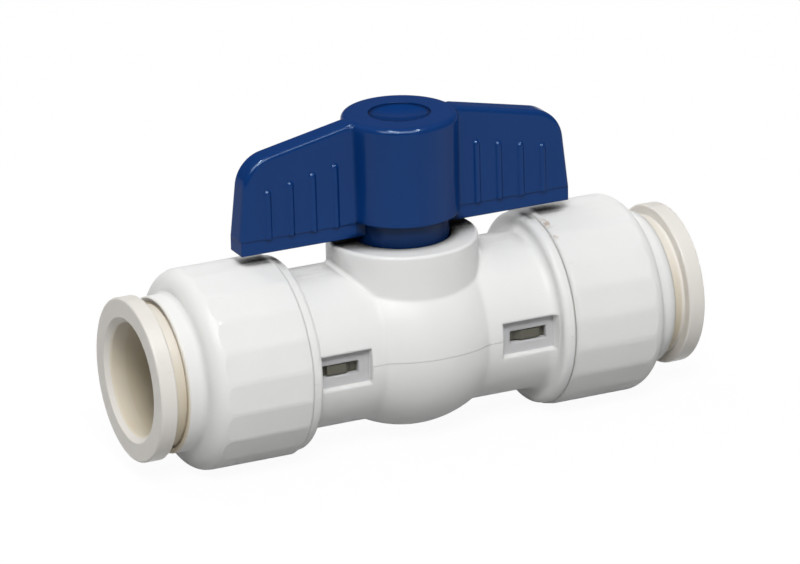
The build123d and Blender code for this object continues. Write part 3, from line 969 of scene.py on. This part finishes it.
class Finishes:
    """All finishes of the valve, each made into a material once."""

    # Tan at the caps' mouths: dust with painted shade and warm bounce light.
    MOUTH_DUST_AND_SHADE: Colour = (0.66, 0.57, 0.42)
    SMUDGE: Colour = (0.50, 0.40, 0.31)

    def __init__(self, places: Places) -> None:
        """Makes the materials.

        Args:
            places: Where the faces are that dirt, stains and painted shade keep to.
        """
        effects = SharedEffects()
        white = self._white_shell(places)
        blue = self._blue_handle(places)
        self.materials: dict[Slot, bpy.types.Material] = {}
        for finish in (
            white,
            self._ivory_collet(places),
            blue,
            # Carriers and backup rings: a dark olive acetal, part of whose darkness is painted shade for the
            # snap slots that the carriers show through.
            Plastic(
                slot=Slot.OLIVE_CARRIER, name="olive_carrier", colour=(0.085, 0.082, 0.06),
                cloud_colour=(0.095, 0.09, 0.065), rub_colour=(0.14, 0.135, 0.11), roughness=0.42,
            ),
            Plastic(
                slot=Slot.BALL, name="ball", colour=(0.72, 0.72, 0.71),
                cloud_colour=(0.70, 0.70, 0.69), rub_colour=(0.62, 0.62, 0.60), roughness=0.16,
            ),
            Plastic(
                slot=Slot.SEAT, name="seat", colour=(0.82, 0.82, 0.80), cloud_colour=(0.79, 0.79, 0.775),
                rub_colour=(0.72, 0.72, 0.70), roughness=0.46, grain_scale=7600.0,
            ),
            Rubber(),
            Steel(),
        ):
            self.materials[finish.slot] = finish.material(effects)
        line = replace(
            white, name="mould_line", colour=(0.82, 0.82, 0.81), cloud_colour=(0.80, 0.80, 0.79),
            seam_places=(), marks=(), shade_cover=0.0,
        )
        self.mould_line = line.material(effects)
        # Tan ring in the caps' mouths: dust with painted shade and warm bounce light.
        self.mouth_dust = replace(
            line, name="mouth_dust", colour=self.MOUTH_DUST_AND_SHADE, cloud_colour=(0.58, 0.49, 0.35)
        ).material(effects)
        self.seam_dust = replace(
            line, name="seam_dust", colour=(0.66, 0.65, 0.62), cloud_colour=(0.60, 0.58, 0.54)
        ).material(effects)
        self.soft_cap = replace(white, name="soft_cap", edge_softness=2.4 * MM).material(effects)
        # Painted shade round the rim of the dished plug in the boss.
        groove = DrumShade(
            inner=places.plug_inner, outer=places.plug_outer, low=0.0, high=places.above_all,
            colour=(0.001, 0.01, 0.05), cover=0.85, softness=0.6 * MM,
        )
        self.dished_plug = replace(
            blue, name="dished_plug", dish_depth=1.4 * MM, marks=(groove,)
        ).material(effects)

    def _white_shell(self, places: Places) -> Plastic:
        """Gloss white of the body and the caps, with dust and painted shade at the nose, painted shade in
        the pockets and under the handle, and two smudges.

        Args:
            places: Where the faces are.

        Returns:
            The finish.
        """
        axis, seam, nose = places.axis_height, places.seam, places.nose
        return Plastic(
            slot=Slot.WHITE_SHELL, name="white_shell", colour=(0.80, 0.80, 0.79),
            cloud_colour=(0.785, 0.785, 0.772), rub_colour=(0.72, 0.71, 0.69),
            roughness=0.09, roughness_spread=0.03, specular=0.07, edge_specular=0.0,
            edge_softness=0.7 * MM,
            blend_softness=2.2 * MM, blend_place=nose - places.crease_depth, blend_half=4.0 * MM,
            dome_place=nose - places.dome_depth, dome_crispness=0.9,
            # Painted shade where the handle closes in over the body and the caps.
            shade_cover=0.98, shade_reach=11.0 * MM, shade_tight=0.40, shade_open=0.57,
            shade_above=axis + places.under_handle,
            subsurface=0.25, subsurface_reach=1.2 * MM,
            seam_places=(-seam, seam),
            marks=(
                # Tan at the nose mouth: dust with painted shade and warm bounce light.
                RingStainAndShade(
                    axis_height=axis, start=nose - 0.5 * MM, end=nose + 1.0 * MM, radius=places.nose_radius,
                    colour=self.MOUTH_DUST_AND_SHADE, cover=0.85, softness=0.45 * MM,
                ),
                # Painted shade on the floors of the snap pockets.
                PocketShade(axis_height=axis, colour=(0.52, 0.52, 0.53)),
                Spot(
                    centre=(seam + 0.3 * MM, -5.5 * MM, axis + 19.0 * MM), radius=2.2 * MM,
                    colour=self.SMUDGE,
                ),
                Spot(
                    centre=(seam + 0.6 * MM, -8.8 * MM, axis + 17.6 * MM), radius=1.8 * MM,
                    colour=self.SMUDGE,
                ),
            ),
        )

    def _ivory_collet(self, places: Places) -> Plastic:
        """Satin ivory of the collets, tan with painted shade and warm bounce light in the groove behind the
        flange and in the bore.

        Args:
            places: Where the faces are.

        Returns:
            The finish.
        """
        axis = places.axis_height
        flange_back = places.collet_face - places.flange_thickness
        return Plastic(
            slot=Slot.IVORY_COLLET, name="ivory_collet", colour=(0.755, 0.728, 0.685),
            cloud_colour=(0.745, 0.713, 0.667), rub_colour=(0.67, 0.63, 0.56),
            roughness=0.3, cloud_scale=90.0, specular=0.12, edge_specular=0.06,
            marks=(
                # Painted shade with warm bounce light on the collet's neck, in the groove behind the flange.
                RingStainAndShade(
                    axis_height=axis, start=0.0, end=flange_back - 0.9 * MM, radius=places.flange_radius,
                    colour=(0.60, 0.525, 0.385), cover=0.85, softness=0.6 * MM,
                ),
                # Painted shade with warm bounce light in the collet's bore.
                RingStainAndShade(
                    axis_height=axis, start=0.0, end=places.nose + 10.0 * MM, radius=places.bore_radius,
                    colour=(0.69, 0.615, 0.475), cover=0.85,
                ),
            ),
        )

    def _blue_handle(self, places: Places) -> Plastic:
        """Gloss dark blue of the lever, with painted shade on the skirt under the boss and where surfaces
        close in.

        Args:
            places: Where the faces are.

        Returns:
            The finish.
        """
        # Painted shade on the skirt under the boss.
        skirt = DrumShade(
            inner=0.0, outer=places.skirt_radius, low=0.0, high=places.boss_bottom,
            colour=(0.0015, 0.016, 0.075), cover=0.8,
        )
        return Plastic(
            slot=Slot.BLUE_HANDLE, name="blue_handle", colour=(0.002, 0.031, 0.148),
            cloud_colour=(0.0025, 0.033, 0.156), rub_colour=(0.008, 0.055, 0.21), rub_amount=0.15,
            roughness=0.15, roughness_spread=0.04, cloud_scale=45.0, specular=0.2, edge_specular=0.035,
            # Painted shade where other surfaces close in on the lever.
            specular_tint=(0.7, 0.88, 1.0), blend_softness=1.6 * MM, shade_cover=0.6, marks=(skirt,),
        )

    def dress(self, node: str, slot: Slot) -> None:
        """Puts the finish of a slot on a CAD node."""
        self.cover(node, self.materials[slot])

    def cover(self, node: str, material: bpy.types.Material) -> None:
        """Puts a material on a CAD node.

        Args:
            node: Name of the node.
            material: The material.
        """
        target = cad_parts[node]
        for place in range(len(target.material_slots)):
            target.material_slots[place].material = material
        LOG.info("%s dressed as %s", node, material.name)


class PathTree:
    """Geometry node tree that sweeps a small round or cornered section along a path."""

    def __init__(self, name: str, inputs: dict[str, str]) -> None:
        """Starts the tree with its named inputs.

        Args:
            name: Name of the tree.
            inputs: Kind of each input, such as Float or Vector, by name.
        """
        self.tree = bpy.data.node_groups.new(name, "GeometryNodeTree")
        self.identifiers: dict[str, str] = {}
        for label, kind in {**inputs, "Material": "Material"}.items():
            socket = self.tree.interface.new_socket(
                label, in_out="INPUT", socket_type="NodeSocket" + kind
            )
            self.identifiers[label] = socket.identifier
        self.tree.interface.new_socket("Geometry", in_out="OUTPUT", socket_type="NodeSocketGeometry")
        self.graph = Graph(self.tree)
        source = self.graph.add("NodeGroupInput")
        self.given = {socket.name: socket for socket in source.outputs}

    def circle(self, points: Value, radius: Value) -> bpy.types.NodeSocket:
        """Adds a circle and gives its curve."""
        node = self.graph.fed("GeometryNodeCurvePrimitiveCircle", Resolution=points, Radius=radius)
        return node.outputs["Curve"]

    def sweep(self, path: bpy.types.NodeSocket, section: bpy.types.NodeSocket) -> None:
        """Ends the tree: sweeps the section along the path as a plain mesh with its material.

        Args:
            path: Socket of the path curve.
            section: Socket of the section curve.
        """
        graph = self.graph
        mesh = graph.fed("GeometryNodeCurveToMesh", Curve=path, Profile_Curve=section, Fill_Caps=True)
        real = graph.fed("GeometryNodeRealizeInstances", Geometry=mesh.outputs["Mesh"])
        finish = graph.fed(
            "GeometryNodeSetMaterial", Geometry=real.outputs["Geometry"], Material=self.given["Material"]
        )
        graph.fed("NodeGroupOutput", Geometry=finish.outputs["Geometry"])

    def mesh(self, values: dict[str, object]) -> bpy.types.Mesh:
        """Runs the tree once.

        Args:
            values: Value of each input, by name.

        Returns:
            The result as a plain mesh.
        """
        holder = bpy.data.objects.new("holder", bpy.data.meshes.new("holder"))
        bpy.context.scene.collection.objects.link(holder)
        modifier = holder.modifiers.new("sweep", "NODES")
        modifier.node_group = self.tree
        for label, value in values.items():
            modifier[self.identifiers[label]] = value
        depsgraph = bpy.context.evaluated_depsgraph_get()
        mesh = bpy.data.meshes.new_from_object(holder.evaluated_get(depsgraph))
        bpy.data.objects.remove(holder)
        return mesh


def add_piece(name: str, meshes: list[bpy.types.Mesh], body: str) -> None:
    """Joins meshes to one piece that rides on a body.

    Args:
        name: Name of the piece.
        meshes: Its meshes, which share one material.
        body: Body that carries it.
    """
    points: list[Vector] = []
    faces: list[list[int]] = []
    for mesh in meshes:
        first = len(points)
        points.extend(vertex.co.copy() for vertex in mesh.vertices)
        faces.extend([first + index for index in face.vertices] for face in mesh.polygons)
    joined = bpy.data.meshes.new(name)
    joined.from_pydata(points, [], faces)
    joined.materials.append(meshes[0].materials[0])
    piece = bpy.data.objects.new(name, joined)
    bpy.context.scene.collection.objects.link(piece)
    for polygon in joined.polygons:
        polygon.use_smooth = True
    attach(piece, body)
    LOG.info("%s added on %s, %d faces", name, body, len(faces))


@dataclass
class Shell:
    """The moulded body and the fine line that its mould halves left at the height of the flow axis."""

    axis_height: float
    bulge_half: float = 14.1 * MM
    band_inner: float = 27.0 * MM
    band_outer: float = 28.25 * MM
    reach: float = 40.0 * MM
    line_radius: float = 0.06 * MM
    line_sink: float = 0.035 * MM
    line_points: int = 160
    section_points: int = 8

    def build(self, finishes: Finishes) -> None:
        """Sweeps the mould line over the front and the back of the body.

        Args:
            finishes: The finished materials.
        """
        tree = PathTree("mould_line", {
            "Body": "Object", "Start": "Vector", "End": "Vector", "Towards": "Vector", "Reach": "Float",
            "Line Radius": "Float", "Sink": "Vector", "Points": "Int",
        })
        graph, given = tree.graph, tree.given
        line = graph.fed("GeometryNodeCurvePrimitiveLine", Start=given["Start"], End=given["End"])
        fine = graph.fed("GeometryNodeResampleCurve", Curve=line.outputs["Curve"], Count=given["Points"])
        body = graph.fed("GeometryNodeObjectInfo", Object=given["Body"])
        cast = graph.fed(
            "GeometryNodeRaycast",
            Target_Geometry=body.outputs["Geometry"],
            Ray_Direction=given["Towards"],
            Ray_Length=given["Reach"],
        )
        laid = graph.fed(
            "GeometryNodeSetPosition",
            Geometry=fine.outputs["Curve"],
            Position=cast.outputs["Hit Position"],
            Offset=given["Sink"],
        )
        tree.sweep(laid.outputs["Geometry"], tree.circle(self.section_points, given["Line Radius"]))

        spans = [(-self.bulge_half, self.bulge_half)]
        for side in Side:
            spans.append((side.value * self.band_inner, side.value * self.band_outer))
        meshes = []
        for face in (-1, 1):
            for start, end in spans:
                meshes.append(tree.mesh({
                    "Body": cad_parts["valve_body"],
                    "Start": (start, face * self.reach, self.axis_height),
                    "End": (end, face * self.reach, self.axis_height),
                    "Towards": (0.0, -float(face), 0.0),
                    "Reach": self.reach,
                    "Line Radius": self.line_radius,
                    "Sink": (0.0, -face * self.line_sink, 0.0),
                    "Points": self.line_points,
                    "Material": finishes.mould_line,
                }))
        add_piece("mould_line", meshes, "body")

    def dress(self, finishes: Finishes) -> None:
        """Gives the body and its thrust washer their finishes."""
        finishes.dress("valve_body", Slot.WHITE_SHELL)
        finishes.dress("thrust_washer", Slot.SEAT)


@dataclass
class EndFitting:
    """One push-fit end: cap, collet with its teeth, seals, seat carrier and ball seat."""

    side: Side
    places: Places
    mouth_radius: float = 14.27 * MM
    mouth_depth: float = 0.15 * MM
    mouth_fill: float = 0.13 * MM
    seam_radius: float = 19.28 * MM
    seam_depth: float = 0.1 * MM
    seam_fill: float = 0.09 * MM
    ring_points: int = 180
    section_points: int = 8

    def build(self, finishes: Finishes) -> None:
        """Lays the dust that has settled in the cap's seam, and round the collet in its mouth a tan ring of
        dust and painted shade.

        Args:
            finishes: The finished materials.
        """
        tree = PathTree(self.side.node("dust_ring"), {
            "Radius": "Float", "Centre": "Vector", "Dust Radius": "Float", "Points": "Int",
        })
        given = tree.given
        placed = tree.graph.fed(
            "GeometryNodeTransform",
            Geometry=tree.circle(given["Points"], given["Radius"]),
            Rotation=(0.0, math.pi / 2, 0.0),
            Translation=given["Centre"],
        )
        tree.sweep(placed.outputs["Geometry"], tree.circle(self.section_points, given["Dust Radius"]))
        mouth = self.places.nose - self.mouth_depth
        seam = self.places.seam - self.seam_depth
        # The mouth ring's tan is dust with painted shade and warm bounce light.
        for name, along, radius, fill, material in (
            ("mouth_dust", mouth, self.mouth_radius, self.mouth_fill, finishes.mouth_dust),
            ("seam_dust", seam, self.seam_radius, self.seam_fill, finishes.seam_dust),
        ):
            mesh = tree.mesh({
                "Radius": radius,
                "Centre": (self.side.value * along, 0.0, self.places.axis_height),
                "Dust Radius": fill,
                "Points": self.ring_points,
                "Material": material,
            })
            add_piece(self.side.node(name), [mesh], "body")

    def dress(self, finishes: Finishes) -> None:
        """Gives each piece of this end its finish; the right cap's flats are the softer ones.

        Args:
            finishes: The finished materials.
        """
        for name, slot in (
            ("end_cap", Slot.WHITE_SHELL),
            ("collet", Slot.IVORY_COLLET),
            ("collet_teeth", Slot.STEEL),
            ("tube_o_ring", Slot.RUBBER),
            ("backup_ring", Slot.OLIVE_CARRIER),
            ("seat_carrier", Slot.OLIVE_CARRIER),
            ("carrier_inner_o_ring", Slot.RUBBER),
            ("carrier_outer_o_ring", Slot.RUBBER),
            ("ball_seat", Slot.SEAT),
        ):
            finishes.dress(self.side.node(name), slot)
        if self.side is Side.RIGHT:
            finishes.cover(self.side.node("end_cap"), finishes.soft_cap)


@dataclass
class TurningGroup:
    """What turns with the lever: handle, its cap and screw, stem, stem seals and ball."""

    boss_height: float = 20.25 * MM
    screw_head: float = 2.4 * MM
    screw_radius: float = 1.9 * MM
    thread_pitch: float = 1.4 * MM
    thread_depth: float = 0.3 * MM
    thread_runout: float = 2.2 * MM
    points_per_turn: int = 40
    section_points: int = 4

    def build(self, finishes: Finishes) -> None:
        """Winds the thread of the handle screw round its shank.

        Args:
            finishes: The finished materials.
        """
        low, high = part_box("handle_screw")
        length = high.z - low.z - self.screw_head - 2 * self.thread_runout
        tree = PathTree("screw_thread", {
            "Turns": "Float", "Radius": "Float", "Length": "Float", "Base": "Vector", "Depth": "Float",
            "Points": "Int",
        })
        given = tree.given
        helix = tree.graph.fed(
            "GeometryNodeCurveSpiral",
            Resolution=given["Points"],
            Rotations=given["Turns"],
            Start_Radius=given["Radius"],
            End_Radius=given["Radius"],
            Height=given["Length"],
        )
        placed = tree.graph.fed(
            "GeometryNodeTransform", Geometry=helix.outputs["Curve"], Translation=given["Base"]
        )
        tree.sweep(placed.outputs["Geometry"], tree.circle(self.section_points, given["Depth"]))
        mesh = tree.mesh({
            "Turns": length / self.thread_pitch,
            "Radius": self.screw_radius,
            "Length": length,
            "Base": (0.0, 0.0, low.z + self.thread_runout),
            "Depth": self.thread_depth,
            "Points": self.points_per_turn,
            "Material": finishes.materials[Slot.STEEL],
        })
        add_piece("screw_thread", [mesh], "handle")

    def dress(self, finishes: Finishes) -> None:
        """Gives each turning piece its finish.

        Args:
            finishes: The finished materials.
        """
        for name, slot in (
            ("handle", Slot.BLUE_HANDLE),
            ("handle_screw", Slot.STEEL),
            ("stem", Slot.BALL),
            ("stem_o_ring_lower", Slot.RUBBER),
            ("stem_o_ring_upper", Slot.RUBBER),
            ("ball", Slot.BALL),
        ):
            finishes.dress(name, slot)
        finishes.cover("handle_cap", finishes.dished_plug)


def direction(azimuth: float, elevation: float) -> Vector:
    """Unit vector from the valve at two angles in radians; azimuth 0 is in front of it, along -Y."""
    level = math.cos(elevation)
    return Vector((math.sin(azimuth) * level, -math.cos(azimuth) * level, math.sin(elevation)))


@dataclass(frozen=True)
class Softbox:
    """A soft lamp, placed by its direction from the valve.

    Its brightness is what a white surface shows that faces it; 1 is white.
    """

    name: str
    azimuth: float
    elevation: float
    width: float
    height: float
    brightness: float
    use: LampUse
    spin: float = 0.0
    distance: float = 1.3

    def build(self, target: Vector) -> None:
        """Hangs the lamp and turns it to the valve.

        Args:
            target: Point that the lamp faces.
        """
        away = direction(math.radians(self.azimuth), math.radians(self.elevation))
        lamp = bpy.data.lights.new(self.name, "AREA")
        lamp.shape = "RECTANGLE"
        lamp.size = self.width
        lamp.size_y = self.height
        lamp.energy = self.brightness * (math.pi * self.distance) ** 2
        holder = bpy.data.objects.new(self.name, lamp)
        holder.location = target + away * self.distance
        holder.rotation_mode = "QUATERNION"
        spin = Quaternion((0.0, 0.0, 1.0), math.radians(self.spin))
        holder.rotation_quaternion = (-away).to_track_quat("-Z", "Y") @ spin
        holder.visible_glossy = self.use is LampUse.SHEEN
        holder.visible_diffuse = self.use is LampUse.FILL
        bpy.context.scene.collection.objects.link(holder)


@dataclass
class Studio:
    """Pale floor, soft lamps, a dim room and the camera at the photo's angle."""

    axis_height: float
    floor_half: float = 6.0
    floor_drop: float = 0.05 * MM
    floor_bounce: float = 0.40
    floor_glow: float = 0.95
    room_low: float = 0.12
    room_high: float = 0.45
    azimuth: float = -25.302
    elevation: float = 19.941
    roll: float = -1.125
    distance: float = 1.07072
    aim_right: float = 0.6976 * MM
    aim_up: float = -9.388 * MM
    focal_pixels: float = 5415.04
    photo_width: int = 800
    sensor_width: float = 36.0
    clip_end: float = 20.0

    def build(self) -> None:
        """Builds the floor, the room's light, the lamps and the camera."""
        bpy.context.scene.view_settings.view_transform = "Standard"
        self._floor()
        self._room()
        target = Vector((0.0, 0.0, self.axis_height))
        for softbox in (
            Softbox("key", -20.0, 47.0, 0.45, 0.45, 0.77, LampUse.FILL),
            Softbox("back_top", 212.0, 46.0, 0.60, 0.60, 0.18, LampUse.FILL),
            Softbox("back_left", 205.0, 14.0, 0.60, 0.40, 0.15, LampUse.FILL),
            Softbox("back_right", 105.0, 14.0, 0.60, 0.40, 0.15, LampUse.FILL),
            Softbox("bank", -30.0, 52.0, 1.40, 0.75, 2.0, LampUse.SHEEN),
            Softbox("strip_left", -42.0, 64.0, 0.03, 0.78, 0.70, LampUse.SHEEN, spin=30.0),
            Softbox("strip_right", 36.0, 65.0, 0.03, 0.76, 0.55, LampUse.SHEEN, spin=-36.0),
        ):
            softbox.build(target)
        self._camera()

    def _seen(self, graph: Graph) -> bpy.types.NodeSocket:
        """Mask of the rays that show the background: straight, mirrored or through glass.

        Args:
            graph: The material's graph.

        Returns:
            The mask's socket.
        """
        path = graph.add("ShaderNodeLightPath").outputs
        mirrored = graph.math("MAXIMUM", path["Is Glossy Ray"], path["Is Transmission Ray"])
        return graph.math("MAXIMUM", path["Is Camera Ray"], mirrored)

    def _floor(self) -> None:
        """Lays the floor, white to the eye and darker in what it bounces."""
        half = self.floor_half
        mesh = bpy.data.meshes.new("floor")
        edges = [(-half, -half), (half, -half), (half, half), (-half, half)]
        mesh.from_pydata([(x, y, -self.floor_drop) for x, y in edges], [], [(0, 1, 2, 3)])
        floor = bpy.data.objects.new("floor", mesh)
        bpy.context.scene.collection.objects.link(floor)
        material = bpy.data.materials.new("floor_white")
        material.use_nodes = True
        material.node_tree.nodes.clear()
        graph = Graph(material.node_tree)
        seen = self._seen(graph)
        bounce = (self.floor_bounce,) * 3
        matt = graph.fed("ShaderNodeBsdfDiffuse", Color=graph.blend(seen, bounce, WHITE))
        glow = graph.add("ShaderNodeEmission")
        mix = graph.add("ShaderNodeMixShader")
        shares = (graph.product(seen, self.floor_glow), matt.outputs[0], glow.outputs[0])
        for socket, item in zip(mix.inputs, shares):
            graph.feed(socket, item)
        graph.fed("ShaderNodeOutputMaterial", Surface=mix.outputs[0])
        mesh.materials.append(material)

    def _room(self) -> None:
        """Sets the room's own light, dim near the floor and brighter overhead."""
        world = bpy.data.worlds.new("studio")
        world.use_nodes = True
        bpy.context.scene.world = world
        graph = Graph(world.node_tree)
        backdrop = next(node for node in world.node_tree.nodes if node.type == "BACKGROUND")
        height = graph.axes(graph.add("ShaderNodeTexCoord").outputs["Generated"])["Z"]
        strength = graph.ramp(height, 0.0, 1.0, self.room_low, self.room_high)
        graph.feed_named(backdrop, {"Color": rgba(WHITE), "Strength": strength})

    def _camera(self) -> None:
        """Sets the camera by the angles, the distance and the aim that fit the photo."""
        turn, tilt, roll = (math.radians(angle) for angle in (self.azimuth, self.elevation, self.roll))
        level = Vector((math.cos(turn), math.sin(turn), 0.0))
        back = direction(turn, tilt)
        upright = back.cross(level)
        right = math.cos(roll) * level + math.sin(roll) * upright
        up = back.cross(right)
        place = back * self.distance - right * self.aim_right - up * self.aim_up
        place.z += self.axis_height
        data = bpy.data.cameras.new("photo_camera")
        data.sensor_width = self.sensor_width
        data.lens = self.focal_pixels * self.sensor_width / self.photo_width
        data.clip_end = self.clip_end
        camera = bpy.data.objects.new("photo_camera", data)
        camera.matrix_world = Matrix.Translation(place) @ Matrix((right, up, back)).transposed().to_4x4()
        bpy.context.scene.collection.objects.link(camera)
        bpy.context.scene.camera = camera


def main() -> None:
    """Dresses the valve piece by piece and sets the studio."""
    logging.basicConfig(level=logging.INFO, format="%(name)s: %(message)s")
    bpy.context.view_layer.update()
    turning = TurningGroup()
    cap_low, cap_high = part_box("end_cap_right")
    places = Places(
        axis_height=(cap_low.z + cap_high.z) / 2,
        seam=cap_low.x,
        nose=cap_high.x,
        collet_face=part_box("collet_right")[1].x,
        boss_bottom=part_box("handle")[1].z - turning.boss_height,
    )
    finishes = Finishes(places)
    shell = Shell(places.axis_height)
    shell.build(finishes)
    shell.dress(finishes)
    for side in Side:
        fitting = EndFitting(side, places)
        fitting.build(finishes)
        fitting.dress(finishes)
    turning.build(finishes)
    turning.dress(finishes)
    Studio(places.axis_height).build()


if __name__ == "__main__":
    main()
